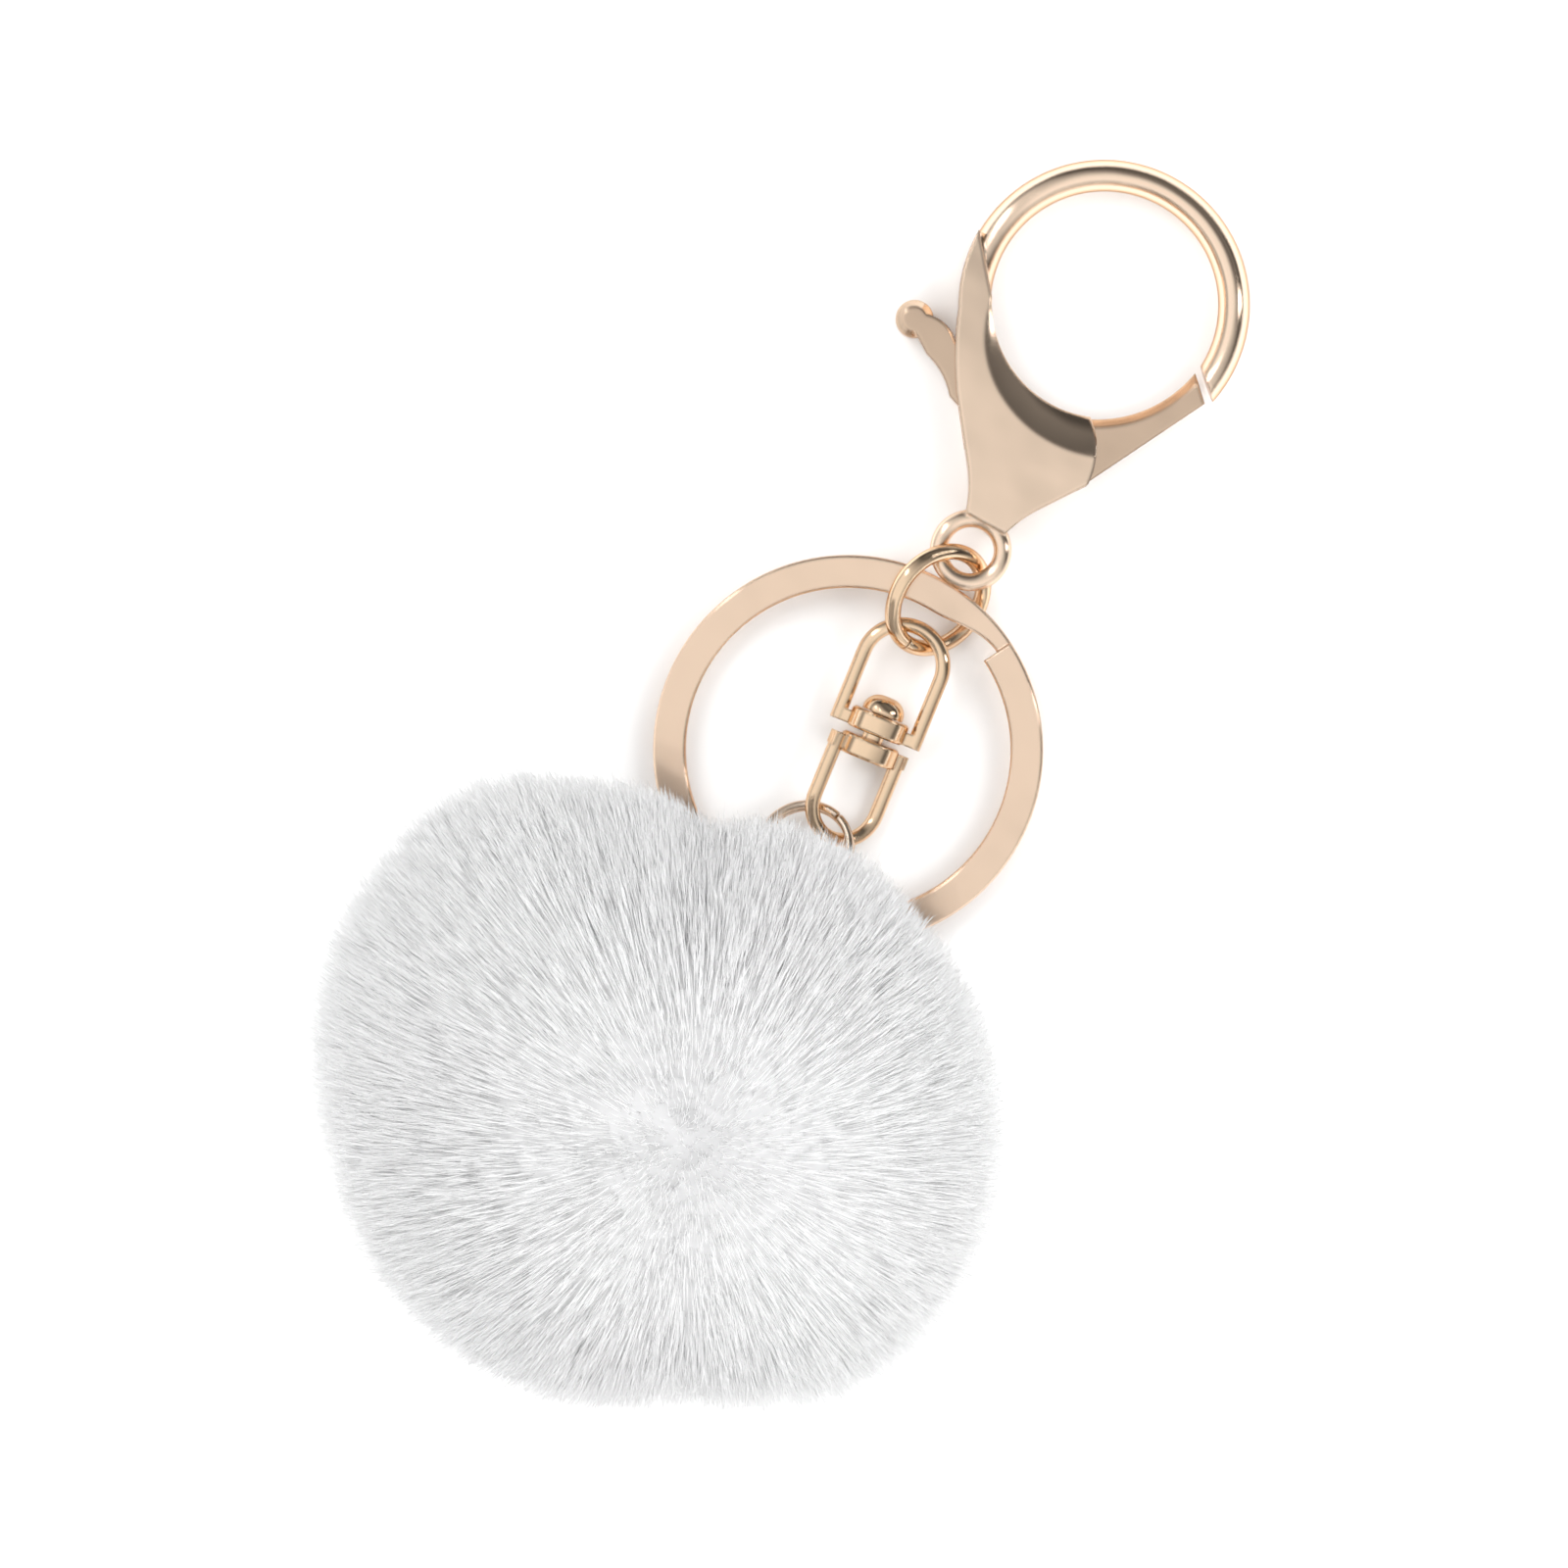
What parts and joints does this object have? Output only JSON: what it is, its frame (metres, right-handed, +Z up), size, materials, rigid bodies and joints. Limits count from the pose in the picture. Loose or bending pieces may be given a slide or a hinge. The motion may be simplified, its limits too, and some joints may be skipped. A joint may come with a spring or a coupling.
{
  "type": "plush ball keychain",
  "caption": "Keychain of a plush fur ball on a cord loop, hung from a swivel, with a flat split key ring and a lobster clasp.",
  "frame": {"origin": "middle of the underside of the keychain as it lies on a table", "axes": "+Y along the chain from the plush ball to the clasp, +Z up from the table, +X to the gate side of the clasp"},
  "size_m": [0.054, 0.116, 0.0517],
  "materials": {
    "clasp_gold": "polished light gold plating",
    "trigger_gold": "polished light gold plating",
    "pin_steel": "polished light gold plating",
    "link_gold": "polished light gold plating",
    "key_ring_gold": "polished light gold plating",
    "swivel_gold": "polished light gold plating",
    "small_ring_gold": "polished light gold plating",
    "plush_fur": "short dense synthetic fur on a knitted backing",
    "filling": "loose fibre filling",
    "cord": "elastic cord",
    "button": "moulded"
  },
  "bodies": {
    "clasp": {"clasp_body": "clasp_gold", "clasp_pivot_pin": "pin_steel", "clasp_spring": "pin_steel"},
    "trigger": {"clasp_trigger": "trigger_gold"},
    "link": {"connector_ring": "link_gold"},
    "key_ring_body": {"key_ring": "key_ring_gold"},
    "swivel_top": {"swivel_upper_bail": "swivel_gold"},
    "swivel_bottom": {"swivel_lower_bail": "swivel_gold", "swivel_rivet": "swivel_gold"},
    "small_ring": {"pom_ring": "small_ring_gold"},
    "ball": {"pom_loop": "cord", "pom_anchor": "button", "pom_fur_cover": "plush_fur", "pom_stuffing": "filling", "pom_drawstring": "cord"}
  },
  "joints": [
    {"name": "gate_opens", "type": "hinge", "parent": "clasp", "child": "trigger", "pos_m": [0.0008, 0.0329, 0.0023], "axis": [0, 0, 1], "range_deg": [0, 22], "stiffness_Nm_per_rad": 0.02, "springref_deg": -17.19},
    {"name": "link_swings_on_eye", "type": "hinge", "parent": "clasp", "child": "link", "pos_m": [0.0013, 0.0223, 0.00422], "axis": [0, 0, 1], "range_deg": [-35, 35]},
    {"name": "key_ring_turns", "type": "hinge", "parent": "link", "child": "key_ring_body", "pos_m": [0.00031, 0.00262, 0.00188], "axis": [0, -0.0506, 0.9987], "continuous": true},
    {"name": "swivel_lifts_on_link", "type": "hinge", "parent": "link", "child": "swivel_top", "pos_m": [0.00208, 0.0149, 0.00093], "axis": [0.8775, 0.4487, -0.1695], "range_deg": [-35, 0]},
    {"name": "swivel_spins", "type": "hinge", "parent": "swivel_top", "child": "swivel_bottom", "pos_m": [0.00163, 0.00455, 0.00275], "axis": [-0.1131, 0.9926, 0.0436], "range_deg": [-10, 100]},
    {"name": "small_ring_lifts_on_swivel", "type": "hinge", "parent": "swivel_bottom", "child": "small_ring", "pos_m": [0.00007, -0.00434, 0], "axis": [0.9488, 0.2996, -0.0999], "range_deg": [-30, 0]},
    {"name": "ball_swings_on_small_ring", "type": "hinge", "parent": "small_ring", "child": "ball", "pos_m": [0.00073, -0.01006, 0.00409], "axis": [1, 0, 0], "range_deg": [-35, 20]}
  ]
}
